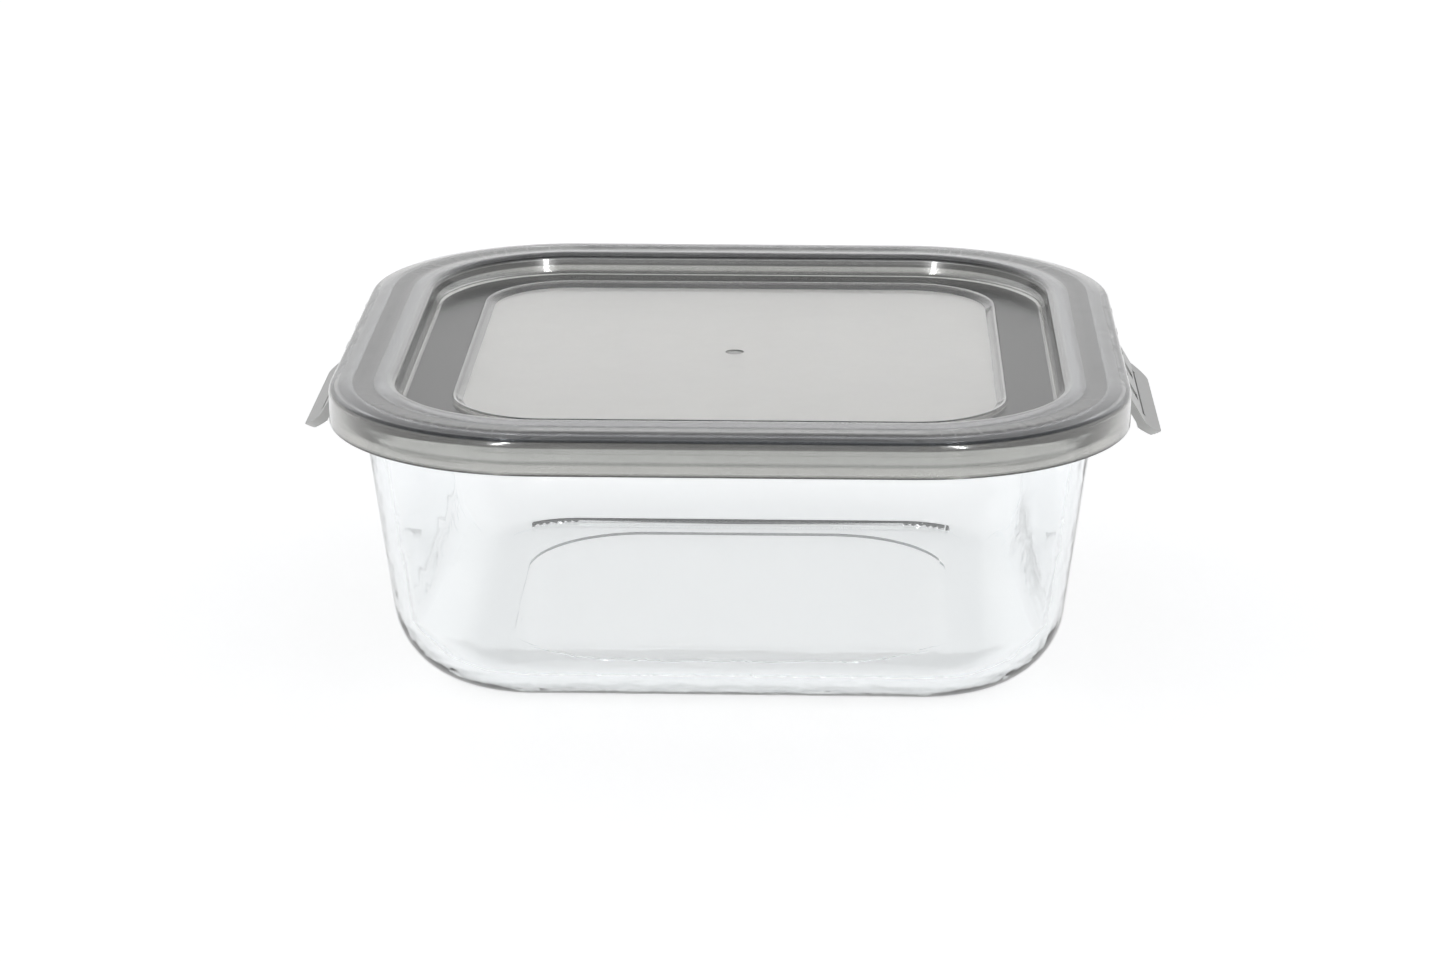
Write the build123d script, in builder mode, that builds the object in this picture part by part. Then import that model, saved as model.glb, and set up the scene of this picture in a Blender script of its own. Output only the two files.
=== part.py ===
"""Square glass food container with a clip-on lid. All sizes are in millimetres.

The origin is the centre of the underside, +Z is up, and the two latches are on the +X and -X sides.
"""
import math
import os

from build123d import *

# ---- driving dimensions: the glass bowl -----------------------------------------------------
bowl_width = 180.0        # outside, just under the rim flange, the same both ways
wall_height = 66.5        # table to the bottom edge of the lid's skirt
draft = 6.46              # lean of the walls, degrees
top_corner = 34.5         # outside corner radius of the wall under the flange
base_corner = 36.2        # outside corner radius of the wall at the table
base_edge = 20.9          # rounding between the walls and the base
glass_wall = 3.8
glass_base = 4.4
foot_width = 5.0          # flat ring that the bowl stands on
foot_depth = 0.8          # how far the base is pushed up inside that ring
base_line_inset = 15.0    # a line pressed into the base at the back, this far inside its outline
base_line_corner = 22.0
base_line_width = 2.4
base_line_top = 2.6       # top of that line above the table
base_line_end = 9.0       # the line stops this far short of the sides of its outline
flange_out = 6.5          # the rim flange stands this far out of the wall
flange_corner = 51.0      # outside corner radius of the flange
flange_slope = 1.6        # rise of the flange's underside from the wall to its edge
flange_lift = 0.2         # the flange starts this far above the skirt's bottom edge
rim_top = 6.0             # top of the glass above the skirt's bottom edge
rim_round = 1.3           # rounding of the glass rim's edges

# ---- driving dimensions: the lid --------------------------------------------------------------
skirt_wall = 1.8
lid_wall = 1.8            # thickness of the recess wall and the floor of the lid
rim_gap = 1.7             # between the glass flange and the skirt
plug_gap = 1.45           # between the glass mouth and the recess wall
shoulder_height = 7.3     # straight outer face of the skirt
edge_height = 8.9         # crown at its outer edge, above the skirt's bottom edge
crown_height = 9.75       # highest line of the crown
crown_under = 7.9         # underside of the crown
shoulder_inset = 1.4      # from the skirt's outer face in to the crown's outer edge
ridge_inset = 5.6         # from the skirt's outer face in to the outer ridge
valley_inset = 9.8        # from the skirt's outer face in to the valley
valley_drop = 0.5         # the crown dips this far between its two ridges
inner_ridge_out = 2.4     # the inner ridge stands this far outside the top of the recess wall
recess_lip_drop = 1.5     # top of the recess wall below the ridges
recess_lean = 0.95        # the recess wall leans in by this much on its way down
recess_foot_out = 2.0     # from the top of the recess wall in to the trough's edge
recess_foot_rise = 0.9    # height of the curve at the foot of the recess wall
skirt_chamfer = 0.9       # between the crown's underside and the skirt
trough_height = 4.2       # floor of the recess beside the panel
trough_width = 11.6
bead_rise = 1.25          # the bead stands this far above the trough
bead_width = 2.7          # from the bead's outer wall to the flat panel
bead_chamfer = 0.3
bead_top_width = 0.5
bead_top_fall = 0.1       # the bead's top falls this much towards the panel
plug_toe = 2.6            # width of the slanting underside where the plug meets the trough
plug_lean = 1.0           # the plug's outer wall leans in by this much on its way down
plug_toe_rise = 1.6       # height of that slanting underside
panel_lap = 3.0           # the swept rim reaches this far under the panel's edge
panel_overlap = 1.0
panel_height = 4.0
gate_radius = 2.4         # round moulding mark in the middle of the panel
gate_depth = 0.3

# ---- driving dimensions: the seal --------------------------------------------------------------
seal_width = 5.4
seal_lip_width = 2.4
seal_clearance = 0.3      # between the seal's lip and the glass
seal_shoulder = 0.7       # height of the lip below the band that fills the groove
groove_rib = 1.1          # width of the two ribs that hold the seal
groove_play = 0.1
seal_round = 0.45         # rounding of the lip's lower edges

# ---- driving dimensions: the latches and their hinges -----------------------------------------
latch_length = 58.0       # along Y
latch_web = 2.0           # thickness of the upper part
web_top = 0.8             # the outer face rises this far above the hinge axis
lip_thicken = 0.6         # the lip is this much thicker than the upper part at its end
crease_thicken = 0.35     # and this much at the crease
crease_blend = 1.5        # height over which the crease thickens
web_start = 1.0           # the upper part's inner face starts this far below the hinge axis
web_face = 0.68           # outer face of the upper part, outwards of the hinge axis
crease_drop = 10.9        # the lip starts this far below the hinge axis
lip_drop = 16.0           # the lip ends this far below the hinge axis
lip_flare = 2.05          # the lip's end stands this far outwards of the upper part
lip_bevel = 1.2           # the lip's inner face ends this far above its outer face
lip_corner = 5.0
hook_reach = 3.7          # from the hinge axis inwards, with the latch closed
hook_drop = 2.0           # top of the hook below the hinge axis
hook_height = 3.6
hook_tip = 0.8            # height of the hook's end face
hook_inset = 5.0          # the hook stops this far short of the latch's ends
rest_angle = 31.0         # how far the latch stands open at rest, degrees
hinge_inset = 1.0         # hinge axis inwards of the skirt's outer face
hinge_rise = 3.0          # hinge axis above the skirt's bottom edge
barrel_radius = 1.6
axle_radius = 1.1
axle_play = 0.06          # radial running clearance of the axle in its lugs
lug_radius = 1.9
lug_slot = 1.7            # push-in slot under each lug, narrower than the axle
inner_lug_at = 10.2       # centre of each inner lug, from the middle of the latch
inner_lug_length = 5.6
end_lug_length = 4.0
side_play = 0.4           # between latch and lid wherever they pass each other
flange_play = 0.3         # the notches stop this far outside the glass flange
join = 0.2                # joined pieces run this far into each other
window_drop = 9.3         # windows in the upper part, from the hinge axis down
groove_width = 0.7        # line moulded along the crease
groove_depth = 0.6
groove_inset = 8.5        # the line stops this far short of the latch's ends
groove_hole_radius = 0.65

# ---- places worked out from them --------------------------------------------------------------
half_top = bowl_width / 2
half_base = half_top - wall_height * math.tan(math.radians(draft))
mouth_half = half_top - glass_wall
rim_z = wall_height + rim_top
flange_half = half_top + flange_out

skirt_in = flange_half + rim_gap
skirt_out = skirt_in + skirt_wall
lid_corner = flange_corner + rim_gap + skirt_wall
plug_out = mouth_half - plug_gap
recess_in = plug_out - lid_wall
trough_out = recess_in - recess_foot_out
bead_out = trough_out - trough_width
panel_half = bead_out - bead_width
trough_z = wall_height + trough_height
panel_z = wall_height + panel_height
crown_z = wall_height + crown_height
under_z = wall_height + crown_under

base_line_half = half_base - base_line_inset
seal_mid = (mouth_half + flange_half) / 2
seal_low = rim_z + seal_clearance

hinge_x = skirt_out - hinge_inset
hinge_z = wall_height + hinge_rise
latch_half = latch_length / 2
notch_half = latch_half + side_play
notch_top = hinge_z + barrel_radius + side_play
end_lug_at = notch_half + end_lug_length / 2
axle_half = notch_half + end_lug_length
window_half = inner_lug_length / 2 + side_play
groove_half = latch_half - groove_inset
hook_half = latch_half - hook_inset
web_in = web_face - latch_web


def leaning_block(low, high):
    """Low and high are (height, half-width, corner): straight lines join the two outlines."""
    with BuildPart() as block:
        for height, half, corner in (low, high):
            with BuildSketch(Plane.XY.offset(height)):
                RectangleRounded(2 * half, 2 * half, corner)
        loft(ruled=True)
    return block.part


# ---- glass bowl -----------------------------------------------------------------------------
lean = math.tan(math.radians(draft))
flange_z = wall_height + flange_lift
mouth_top = mouth_half + rim_top * lean
mouth_low = mouth_top - (rim_z - glass_base) * lean

with BuildPart() as bowl_hollow:
    hollow_low = (glass_base, mouth_low, base_corner - glass_wall)
    hollow_high = (rim_z, mouth_top, top_corner - glass_wall)
    add(leaning_block(hollow_low, hollow_high))
    fillet(bowl_hollow.edges().group_by(Axis.Z)[0], radius=base_edge - glass_wall)

with BuildPart() as glass_bowl:
    # outer wall, leaning outwards, with a large rounding into the base
    add(leaning_block((0, half_base, base_corner), (flange_z, half_top, top_corner)))
    fillet(glass_bowl.edges().group_by(Axis.Z)[0], radius=base_edge)

    # rim flange with a sloping underside
    add(leaning_block((flange_z, half_top, top_corner), (flange_z + flange_slope, flange_half, flange_corner)))
    with BuildSketch(Plane.XY.offset(flange_z + flange_slope)):
        RectangleRounded(2 * flange_half, 2 * flange_half, flange_corner)
    extrude(amount=rim_z - flange_z - flange_slope)
    fillet(glass_bowl.edges().group_by(Axis.Z)[-1], radius=rim_round)

    # inside, and the hollow that leaves a foot ring under the base
    add(bowl_hollow.part, mode=Mode.SUBTRACT)
    with BuildSketch(Plane.XY):
        foot_inside = half_base - base_edge - foot_width
        RectangleRounded(2 * foot_inside, 2 * foot_inside, base_corner - foot_width)
    extrude(amount=foot_depth, mode=Mode.SUBTRACT)
    with BuildSketch(Plane.XY):
        RectangleRounded(2 * base_line_half, 2 * base_line_half, base_line_corner)
        line_inside = base_line_half - base_line_width
        RectangleRounded(2 * line_inside, 2 * line_inside, base_line_corner - base_line_width, mode=Mode.SUBTRACT)
        line_span = 2 * (base_line_half - base_line_end)
        Rectangle(line_span, base_line_half, align=(Align.CENTER, Align.MIN), mode=Mode.INTERSECT)
    extrude(amount=base_line_top, mode=Mode.SUBTRACT)
glass_bowl.part.label = "glass_bowl"

# ---- lid ------------------------------------------------------------------------------------
with BuildPart() as lid:
    # the lid's section is carried along half of its outline, then mirrored
    with BuildLine():
        FilletPolyline(
            (skirt_out, 0), (skirt_out, skirt_out), (-skirt_out, skirt_out), (-skirt_out, 0),
            radius=lid_corner,
        )
    with BuildSketch(Plane.XZ):
        with BuildLine():
            skirt_top = (skirt_out, wall_height + shoulder_height)
            edge = (skirt_out - shoulder_inset, wall_height + edge_height)
            outer_ridge = (skirt_out - ridge_inset, crown_z)
            valley = (skirt_out - valley_inset, crown_z - valley_drop)
            inner_ridge = (recess_in + inner_ridge_out, crown_z)
            recess_top = (recess_in, crown_z - recess_lip_drop)
            Line((skirt_out, wall_height), skirt_top)
            shoulder = TangentArc(skirt_top, edge, tangent=(0, 1))
            Spline(edge, outer_ridge, valley, inner_ridge, tangents=(shoulder % 1, (-1, 0)))
            TangentArc(inner_ridge, recess_top, tangent=(-1, 0))
            recess_low = (recess_in - recess_lean, trough_z + recess_foot_rise)
            trough_edge = (trough_out, trough_z)
            Line(recess_top, recess_low)
            recess_down = (recess_low[0] - recess_top[0], recess_low[1] - recess_top[1])
            TangentArc(recess_low, trough_edge, tangent=recess_down)
            bead_edge = (bead_out, trough_z + bead_rise - bead_chamfer)
            bead_top = (bead_out - bead_chamfer, trough_z + bead_rise)
            bead_back = (bead_top[0] - bead_top_width, bead_top[1] - bead_top_fall)
            lap = panel_half - panel_lap
            Polyline(
                trough_edge, (bead_out, trough_z), bead_edge, bead_top, bead_back,
                (panel_half, panel_z), (lap, panel_z), (lap, panel_z - lid_wall),
                (bead_out, trough_z - lid_wall), (plug_out - plug_toe, trough_z - lid_wall),
                (plug_out - plug_lean, trough_z - lid_wall + plug_toe_rise), (plug_out, under_z),
                (skirt_in - skirt_chamfer, under_z), (skirt_in, under_z - skirt_chamfer),
                (skirt_in, wall_height), (skirt_out, wall_height),
            )
        make_face()
    sweep()
    mirror(about=Plane.XZ)
    # panel
    with BuildSketch(Plane.XY.offset(panel_z - lid_wall)):
        slab_half = lap + panel_overlap
        RectangleRounded(2 * slab_half, 2 * slab_half, lid_corner - (skirt_out - slab_half))
    extrude(amount=lid_wall)
    with BuildSketch(Plane.XY.offset(panel_z)):
        Circle(gate_radius)
    extrude(amount=-gate_depth, mode=Mode.SUBTRACT)

    # two ribs under the crown, with the seal's groove between them
    for rib_in in (seal_mid - seal_width / 2 - groove_play - groove_rib, seal_mid + seal_width / 2 + groove_play):
        rib_corner = lid_corner - (skirt_out - rib_in)
        rib_out = rib_in + groove_rib
        with BuildSketch(Plane.XY.offset(seal_low + seal_shoulder)):
            RectangleRounded(2 * rib_out, 2 * rib_out, rib_corner + groove_rib)
            RectangleRounded(2 * rib_in, 2 * rib_in, rib_corner, mode=Mode.SUBTRACT)
        extrude(amount=under_z - seal_low - seal_shoulder + join)

    # a notch in each side of the skirt for a latch
    with BuildSketch(Plane.XY.offset(wall_height)):
        with Locations((skirt_out, 0), (-skirt_out, 0)):
            Rectangle(2 * (skirt_out - flange_half - flange_play), 2 * notch_half)
    extrude(amount=notch_top - wall_height, mode=Mode.SUBTRACT)

    # lugs that hold the axles of the latches: two inner ones and two beside the notch
    for side in (1, -1):
        for centre, length in (
            (inner_lug_at, inner_lug_length), (-inner_lug_at, inner_lug_length),
            (end_lug_at, end_lug_length), (-end_lug_at, end_lug_length),
        ):
            with BuildSketch(Plane.XZ.offset(-centre)):
                with Locations((side * hinge_x, hinge_z)):
                    Circle(lug_radius)
                with Locations((side * (hinge_x - lug_radius + skirt_out) / 2, hinge_z)):
                    Rectangle(skirt_out - hinge_x + lug_radius, under_z - hinge_z, align=(Align.CENTER, Align.MIN))
            extrude(amount=length / 2, both=True)
        with BuildSketch(Plane.XZ):
            with Locations((side * hinge_x, hinge_z)):
                Circle(axle_radius + axle_play)
                Rectangle(lug_slot, 2 * lug_radius, align=(Align.CENTER, Align.MAX))
        extrude(amount=axle_half + side_play, both=True, mode=Mode.SUBTRACT)
lid.part.label = "lid"

# ---- seal ring --------------------------------------------------------------------------------
with BuildPart() as seal_ring:
    for half_width, low, high in (
        (seal_width / 2, seal_low + seal_shoulder, under_z), (seal_lip_width / 2, seal_low, seal_low + seal_shoulder),
    ):
        outer = seal_mid + half_width
        inner = seal_mid - half_width
        with BuildSketch(Plane.XY.offset(low)):
            RectangleRounded(2 * outer, 2 * outer, lid_corner - (skirt_out - outer))
            RectangleRounded(2 * inner, 2 * inner, lid_corner - (skirt_out - inner), mode=Mode.SUBTRACT)
        extrude(amount=high - low)
    fillet(seal_ring.edges().group_by(Axis.Z)[0], radius=seal_round)
seal_ring.part.label = "seal_ring"

# ---- latches ----------------------------------------------------------------------------------
lean_x = math.cos(math.radians(rest_angle))
lean_z = math.sin(math.radians(rest_angle))
# the latch is drawn as it hangs when closed; this plane stands it open by the rest angle
latch_plane = Plane(origin=(hinge_x, 0, hinge_z), x_dir=(lean_x, 0, lean_z), z_dir=(0, -1, 0))
face_plane = Plane(origin=(hinge_x, 0, hinge_z), x_dir=(0, 1, 0), z_dir=(lean_x, 0, lean_z))

with BuildPart() as latch_right:
    with BuildSketch(latch_plane):
        with BuildLine():
            Polyline(
                (web_face, web_top), (web_face, -crease_drop), (web_face + lip_flare, -lip_drop),
                (web_in + lip_flare - lip_thicken, lip_bevel - lip_drop),
                (web_in - crease_thicken, -crease_drop), (web_in, crease_blend - crease_drop),
                (web_in, -web_start), (-barrel_radius, 0), close=True,
            )
        make_face()
        Circle(barrel_radius)
    extrude(amount=latch_half, both=True)
    # outline seen from outside, with round corners at the lip
    with BuildSketch(face_plane) as outline:
        with Locations((0, 2 * barrel_radius)):
            Rectangle(latch_length, 2 * barrel_radius + lip_drop, align=(Align.CENTER, Align.MAX))
        fillet(outline.vertices().group_by(Axis.Z)[0], radius=lip_corner)
    extrude(amount=2 * latch_web + lip_flare, both=True, mode=Mode.INTERSECT)

    # hook that catches under the flange
    with BuildSketch(latch_plane):
        with BuildLine():
            Polyline(
                (web_in + join, -hook_drop), (-hook_reach, -hook_drop), (-hook_reach, -hook_drop - hook_tip),
                (web_in + join, -hook_drop - hook_height), close=True,
            )
        make_face()
    extrude(amount=hook_half, both=True)

    # windows for the inner lugs, then the axle that runs through all the lugs
    with BuildSketch(face_plane):
        with Locations((-inner_lug_at, 0), (inner_lug_at, 0)):
            Rectangle(2 * window_half, 2 * window_drop)
    extrude(amount=2 * hook_reach, both=True, mode=Mode.SUBTRACT)
    with BuildSketch(latch_plane):
        Circle(axle_radius)
    extrude(amount=axle_half, both=True)

    # line along the crease, with a small hole at each end
    with BuildSketch(latch_plane):
        with Locations((web_face, -crease_drop)):
            Rectangle(2 * groove_depth, groove_width)
    extrude(amount=groove_half, both=True, mode=Mode.SUBTRACT)
    with BuildSketch(face_plane):
        with Locations((-groove_half, -crease_drop), (groove_half, -crease_drop)):
            Circle(groove_hole_radius)
    extrude(amount=2 * latch_web, both=True, mode=Mode.SUBTRACT)
latch_right.part.label = "latch_right"

with BuildPart() as latch_left:
    mirror(latch_right.part, about=Plane.YZ)
latch_left.part.label = "latch_left"

# ---- files ------------------------------------------------------------------------------------
os.makedirs("parts", exist_ok=True)
for piece in (glass_bowl, lid, seal_ring, latch_right, latch_left):
    export_step(piece.part, f"parts/{piece.part.label}.step")
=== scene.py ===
"""Square glass food container with a smoky clip-on lid: looks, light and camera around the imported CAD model."""
import math

import bpy
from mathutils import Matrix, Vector


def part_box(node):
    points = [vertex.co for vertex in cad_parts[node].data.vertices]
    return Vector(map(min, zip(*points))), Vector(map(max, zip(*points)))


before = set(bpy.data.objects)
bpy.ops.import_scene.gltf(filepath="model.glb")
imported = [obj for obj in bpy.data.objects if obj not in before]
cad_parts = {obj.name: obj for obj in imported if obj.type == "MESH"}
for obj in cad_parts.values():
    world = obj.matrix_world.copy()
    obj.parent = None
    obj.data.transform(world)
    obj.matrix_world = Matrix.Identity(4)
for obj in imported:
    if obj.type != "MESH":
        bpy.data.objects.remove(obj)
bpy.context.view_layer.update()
scene = bpy.context.scene

# ---- sizes that the looks need, in metres -------------------------------------------------------
LID_CORNER = 0.0545

# where the lid's zones of painted light and shade end, inwards of its outer edge
SHOULDER_INSET = 0.0022
CROWN_INSET = 0.0146
INNER_RIDGE_INSET = 0.0167
LIP_INSET = 0.0171
WALL_INSET = 0.01905
TROUGH_INSET = 0.0304
BEAD_EDGE_INSET = 0.0309
BEAD_INSET = 0.03335
PANEL_INSET = 1.0

# the shoulder starts at this height, and the bands are (height, share of the tint): painted shade on the skirt
# and the recess wall, darker where the share is lower
SHOULDER_Z = 0.0749
SKIRT_PAINTED_SHADE_BANDS = (
    (0.0665, 0.35), (0.0669, 0.40), (0.0671, 0.92), (0.0692, 0.85), (0.0695, 0.60), (0.0698, 0.60),
    (0.0701, 0.95), (0.0728, 0.92), (0.0749, 0.85),
)
WALL_PAINTED_SHADE_BANDS = ((0.0700, 0.95), (0.0729, 1.0), (0.0732, 0.08), (0.0745, 0.08), (0.0748, 0.80))

# the moulding mark in the middle of the panel, whose dark tint is painted shade for its shallow relief
MARK_RADIUS = 0.0025
MARK_Z = 0.0695

# the box that holds the faces of the line pressed into the base, which are painted near black as painted shade
LINE_NEAR = 0.0590
LINE_FAR = 0.0677
LINE_TOP = 0.0027
LINE_LOW = 0.0009
LINE_HALF = 0.0590

# ---- camera ---------------------------------------------------------------------------------
CAMERA_PLACE = (0.02867, -1.0073, 0.34375)
CAMERA_YAW = math.radians(-1.81)
CAMERA_PITCH = math.radians(17.02)
CAMERA_LENS = 99.73


def make_camera():
    data = bpy.data.cameras.new("camera")
    data.lens = CAMERA_LENS
    data.sensor_width = 36.0
    data.clip_start = 0.01
    data.clip_end = 20.0
    camera = bpy.data.objects.new("camera", data)
    scene.collection.objects.link(camera)
    ahead = Vector((
        math.sin(CAMERA_YAW) * math.cos(CAMERA_PITCH),
        math.cos(CAMERA_YAW) * math.cos(CAMERA_PITCH),
        -math.sin(CAMERA_PITCH),
    ))
    camera.location = CAMERA_PLACE
    camera.rotation_euler = ahead.to_track_quat("-Z", "Y").to_euler()
    scene.camera = camera


# ---- node helpers ---------------------------------------------------------------------------
class Graph:
    """A material's node tree with short calls for the nodes used here."""

    def __init__(self, name):
        self.material = bpy.data.materials.new(name)
        self.material.use_nodes = True
        self.tree = self.material.node_tree
        self.tree.nodes.clear()
        self.output = self.node("ShaderNodeOutputMaterial")

    def node(self, kind, **values):
        made = self.tree.nodes.new(kind)
        for key, value in values.items():
            setattr(made, key, value)
        return made

    def join(self, source, target):
        self.tree.links.new(source, target)

    def shader(self, **values):
        made = self.node("ShaderNodeBsdfPrincipled")
        for key, value in values.items():
            made.inputs[key.replace("_", " ")].default_value = value
        self.join(made.outputs[0], self.output.inputs["Surface"])
        return made

    def absorb(self, colour, density):
        made = self.node("ShaderNodeVolumeAbsorption")
        made.inputs["Color"].default_value = (*colour, 1.0)
        made.inputs["Density"].default_value = density
        self.join(made.outputs[0], self.output.inputs["Volume"])
        return made

    def noise(self, scale, detail=3.0, roughness=0.5):
        place = self.node("ShaderNodeTexCoord")
        made = self.node("ShaderNodeTexNoise")
        made.inputs["Scale"].default_value = scale
        made.inputs["Detail"].default_value = detail
        made.inputs["Roughness"].default_value = roughness
        self.join(place.outputs["Object"], made.inputs["Vector"])
        return made.outputs["Fac"]

    def spread(self, source, low, high):
        made = self.node("ShaderNodeMapRange")
        made.inputs["To Min"].default_value = low
        made.inputs["To Max"].default_value = high
        self.join(source, made.inputs["Value"])
        return made.outputs["Result"]

    def height_bands(self, bands):
        """Grey shares by height above the table, blended between the given heights, for bands of painted shade.
        """
        low, high = bands[0][0], bands[-1][0]
        place = self.node("ShaderNodeTexCoord")
        split = self.node("ShaderNodeSeparateXYZ")
        scale = self.node("ShaderNodeMapRange")
        ramp = self.node("ShaderNodeValToRGB")
        scale.inputs["From Min"].default_value = low
        scale.inputs["From Max"].default_value = high
        self.join(place.outputs["Object"], split.inputs[0])
        self.join(split.outputs["Z"], scale.inputs["Value"])
        self.join(scale.outputs["Result"], ramp.inputs[0])
        stops = ramp.color_ramp.elements
        stops[0].color = (*[bands[0][1]] * 3, 1.0)
        stops[1].color = (*[bands[-1][1]] * 3, 1.0)
        for height, share in bands[1:-1]:
            stop = stops.new((height - low) / (high - low))
            stop.color = (share, share, share, 1.0)
        return ramp.outputs["Color"]

    def bump(self, source, target, strength, distance):
        made = self.node("ShaderNodeBump")
        made.inputs["Strength"].default_value = strength
        made.inputs["Distance"].default_value = distance
        self.join(source, made.inputs["Height"])
        self.join(made.outputs["Normal"], target.inputs["Normal"])


def use(material, *nodes):
    for name in nodes:
        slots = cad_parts[name].data.materials
        slots.clear()
        slots.append(material)


# ---- materials ------------------------------------------------------------------------------
def glass():
    graph = Graph("clear_glass")
    shader = graph.shader(Base_Color=(1.0, 1.0, 1.0, 1.0), Transmission_Weight=1.0, IOR=1.5, Roughness=0.0)
    graph.absorb((0.66, 0.75, 0.79), 24.0)
    graph.bump(graph.noise(18.0, 1.0), shader, 0.12, 0.0006)
    return graph.material


def painted_shade_line():
    """The faces of the pressed line, painted near black as painted shade for the dark line seen through the
    glass.
    """
    graph = Graph("painted_shade_line")
    shader = graph.shader(Base_Color=(0.03, 0.032, 0.034, 1.0), IOR=1.5)
    graph.join(graph.spread(graph.noise(300.0), 0.35, 0.5), shader.inputs["Roughness"])
    return graph.material


def smoky(name, tint, roughness, coat=0.6, bands=()):
    """Smoky translucent plastic: hazy inside, with a glossy skin; bands are (height, share of the tint) and
    darken it as painted shade.
    """
    graph = Graph(name)
    shader = graph.shader(Transmission_Weight=0.9, IOR=1.49, Coat_Weight=coat, Coat_Roughness=0.04)
    cloud = graph.node("ShaderNodeMixRGB")
    graph.join(graph.noise(90.0), cloud.inputs["Fac"])
    cloud.inputs["Color1"].default_value = (*[0.96 * part for part in tint], 1.0)
    cloud.inputs["Color2"].default_value = (*[1.04 * part for part in tint], 1.0)
    colour = cloud.outputs["Color"]
    if bands:
        shade = graph.node("ShaderNodeMixRGB", blend_type="MULTIPLY")
        shade.inputs["Fac"].default_value = 1.0
        graph.join(colour, shade.inputs["Color1"])
        graph.join(graph.height_bands(bands), shade.inputs["Color2"])
        colour = shade.outputs["Color"]
    graph.join(colour, shader.inputs["Base Color"])
    graph.join(graph.spread(graph.noise(420.0), roughness - 0.03, roughness + 0.03), shader.inputs["Roughness"])
    return graph.material


def latch_plastic():
    graph = Graph("latch_plastic")
    shader = graph.shader(Base_Color=(0.44, 0.44, 0.43, 1.0), IOR=1.49)
    graph.join(graph.spread(graph.noise(800.0), 0.32, 0.42), shader.inputs["Roughness"])
    graph.bump(graph.noise(2500.0), shader, 0.15, 0.0001)
    return graph.material


def silicone():
    graph = Graph("seal_silicone")
    shader = graph.shader(Base_Color=(0.74, 0.74, 0.72, 1.0), IOR=1.41)
    graph.join(graph.spread(graph.noise(600.0), 0.45, 0.6), shader.inputs["Roughness"])
    return graph.material


def inset(point, half):
    """How far a point lies inside the lid's outline, seen from above."""
    x = abs(point[0]) - (half - LID_CORNER)
    y = abs(point[1]) - (half - LID_CORNER)
    return LID_CORNER - math.hypot(max(x, 0), max(y, 0)) - min(max(x, y), 0)


def paint_lid_light_and_shade(skirt, shoulder, mark, zones):
    """Paint light and shade onto the one smoky lid in zones; zones are (inset where the zone ends, material, only
    on upper faces), from the rim inwards.
    """
    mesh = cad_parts["lid"].data
    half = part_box("lid")[1][1]
    mesh.materials.clear()
    for material in (skirt, shoulder, mark, *[zone[1] for zone in zones]):
        mesh.materials.append(material)
    for face in mesh.polygons:
        depth = inset(face.center, half)
        if depth < SHOULDER_INSET:
            # the outer edge is skirt below the shoulder height and the shoulder's painted dark reflection above
            # it
            face.material_index = 1 if face.center.z > SHOULDER_Z else 0
            continue
        # the moulding mark's faces get its painted shade
        if math.hypot(face.center.x, face.center.y) < MARK_RADIUS and face.center.z > MARK_Z:
            face.material_index = 2
            continue
        for number, (end, material, upper_only) in enumerate(zones, 3):
            if depth < end and (not upper_only or face.normal.z > 0):
                face.material_index = number
                break


def paint_shade_line(material):
    """Darken the faces of the line pressed into the base with painted shade."""
    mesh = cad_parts["glass_bowl"].data
    mesh.materials.append(material)
    for face in mesh.polygons:
        place = face.center
        inside = LINE_NEAR < place.y < LINE_FAR and abs(place.x) < LINE_HALF
        if inside and LINE_LOW < place.z < LINE_TOP:
            face.material_index = 1


# ---- floor and light --------------------------------------------------------------------------
FLOOR_SIZE = 8.0
FLOOR_DROP = 0.0002
LIGHT_TARGET = (0, 0, 0.05)
STRIP_SIZE = (0.12, 1.3)
STRIP_POWER = 15.0


def make_floor():
    bpy.ops.mesh.primitive_plane_add(size=FLOOR_SIZE, location=(0, 0, -FLOOR_DROP))
    floor = bpy.context.object
    floor.name = "floor"
    graph = Graph("floor_white")
    shader = graph.shader(Base_Color=(0.9, 0.9, 0.9, 1.0), Roughness=0.9, Emission_Strength=0.575)
    shader.inputs["Emission Color"].default_value = (1.0, 1.0, 1.0, 1.0)
    shader.inputs["Specular IOR Level"].default_value = 0.0
    floor.data.materials.append(graph.material)


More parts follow.
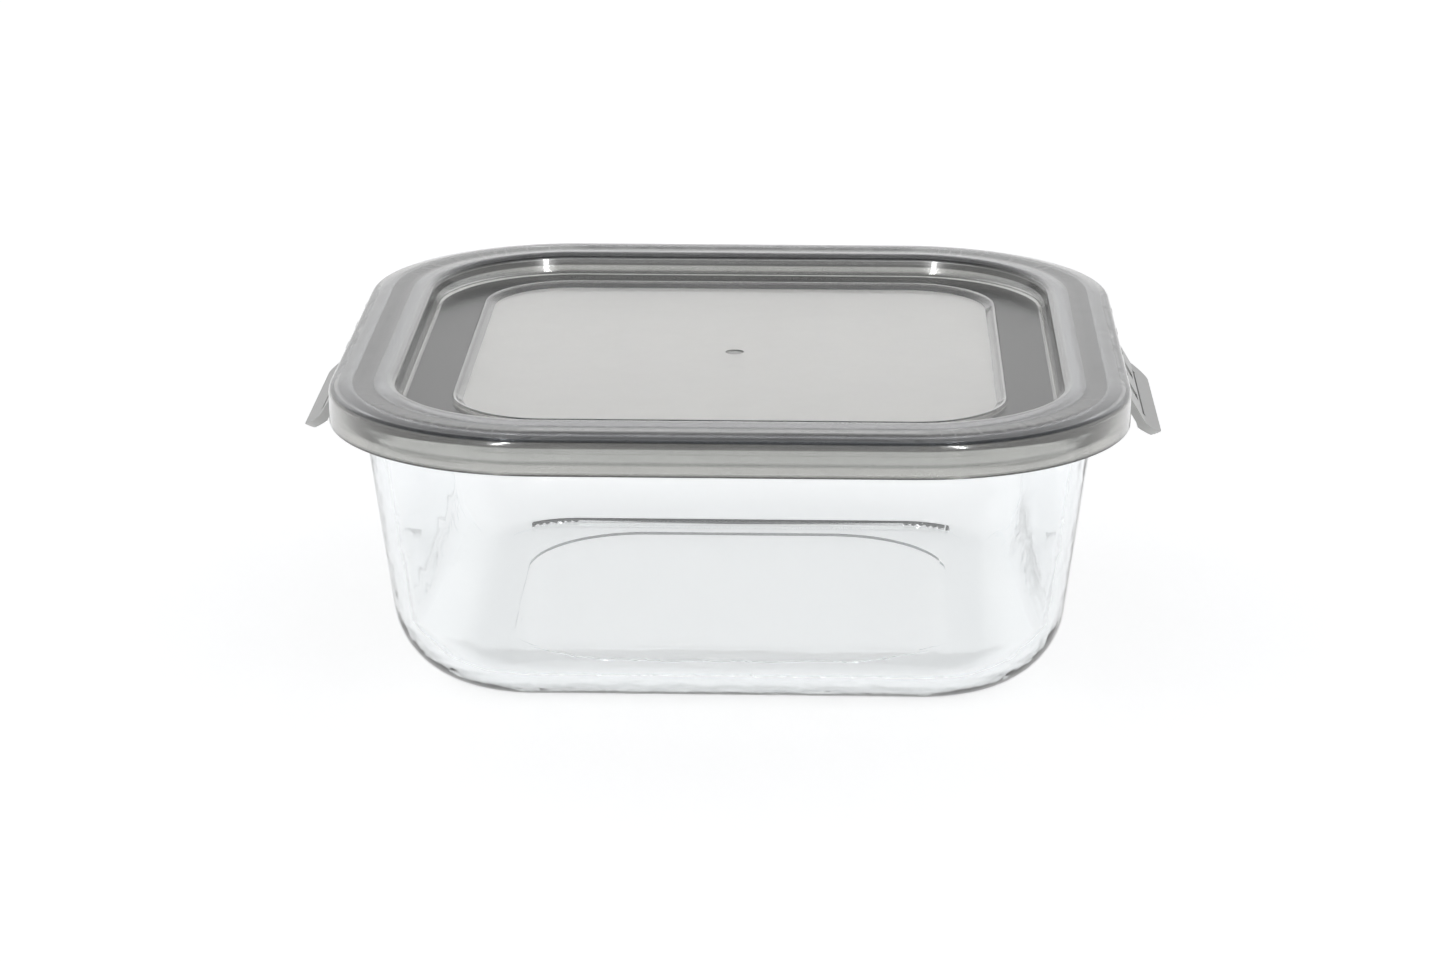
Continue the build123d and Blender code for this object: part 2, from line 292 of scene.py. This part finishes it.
def make_world():
    """Bright all round and below, darker overhead."""
    world = bpy.data.worlds.new("studio")
    scene.world = world
    world.use_nodes = True
    tree = world.node_tree
    background = tree.nodes["Background"]
    place = tree.nodes.new("ShaderNodeTexCoord")
    split = tree.nodes.new("ShaderNodeSeparateXYZ")
    ramp = tree.nodes.new("ShaderNodeValToRGB")
    tree.links.new(place.outputs["Generated"], split.inputs[0])
    tree.links.new(split.outputs["Z"], ramp.inputs[0])
    tree.links.new(ramp.outputs[0], background.inputs["Color"])
    first, last = ramp.color_ramp.elements
    first.position, first.color = 0.45, (1.0, 1.0, 1.0, 1.0)
    last.position, last.color = 0.80, (0.25, 0.255, 0.27, 1.0)
    background.inputs["Strength"].default_value = 1.0


def area_light(name, place, target, size, power):
    """A light that gives highlights only, and adds nothing to diffuse surfaces."""
    data = bpy.data.lights.new(name, "AREA")
    data.shape = "RECTANGLE"
    data.size, data.size_y = size
    data.energy = power
    light = bpy.data.objects.new(name, data)
    scene.collection.objects.link(light)
    light.visible_diffuse = False
    light.location = place
    light.rotation_euler = (Vector(target) - Vector(place)).to_track_quat("-Z", "Y").to_euler()
    return light


make_camera()
make_floor()
make_world()
area_light("strip_left", (-0.55, -1.3, 0.70), LIGHT_TARGET, STRIP_SIZE, STRIP_POWER)
area_light("strip_right", (0.62, -1.3, 0.70), LIGHT_TARGET, STRIP_SIZE, STRIP_POWER)

use(glass(), "glass_bowl")
paint_shade_line(painted_shade_line())
crown = smoky("smoky_crown", (0.50, 0.505, 0.52), 0.22)
paint_lid_light_and_shade(
    # the skirt's tint is partly the plastic's own smoky colour and partly painted light from the glass behind it;
    # its bands are painted shade
    smoky("smoky_painted_light_and_shade_skirt", (0.56, 0.555, 0.525), 0.16, bands=SKIRT_PAINTED_SHADE_BANDS),
    # the shoulder's near-black tint is a painted dark reflection
    smoky("smoky_painted_reflection_shoulder", (0.13, 0.138, 0.152), 0.20),
    smoky("smoky_painted_shade_mark", (0.16, 0.16, 0.155), 0.30),
    (
        (CROWN_INSET, crown, False),
        # the inner ridge's light tint is a painted highlight
        (INNER_RIDGE_INSET, smoky("smoky_painted_highlight_inner_ridge", (0.80, 0.80, 0.79), 0.22), False),
        # the lip's near-black tint on its upper faces is painted shade
        (LIP_INSET, smoky("smoky_painted_shade_lip", (0.05, 0.05, 0.05), 0.20), True),
        # the recess wall's light tint is painted light, and its bands paint a dark line near its top as painted
        # shade
        (WALL_INSET, smoky("smoky_painted_light_and_shade_wall", (0.68, 0.675, 0.645), 0.22, bands=WALL_PAINTED_SHADE_BANDS), False),
        # the trough's dark tint is painted shade
        (TROUGH_INSET, smoky("smoky_painted_shade_trough", (0.13, 0.13, 0.127), 0.22, coat=0.0), False),
        # the bead edge's near-black tint on its upper faces is a painted shadow line at the foot of the panel
        (BEAD_EDGE_INSET, smoky("smoky_painted_shadow_bead_edge", (0.09, 0.09, 0.09), 0.22), True),
        # the bead's light tint is painted light
        (BEAD_INSET, smoky("smoky_painted_light_bead", (0.88, 0.875, 0.86), 0.22), False),
        # the panel's light tint is painted light from the white bowl below it
        (PANEL_INSET, smoky("smoky_painted_light_panel", (0.90, 0.89, 0.86), 0.40), False),
    ),
)
use(latch_plastic(), "latch_left", "latch_right")
use(silicone(), "seal_ring")

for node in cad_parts.values():
    node.data.shade_smooth()

scene.view_settings.view_transform = "Standard"
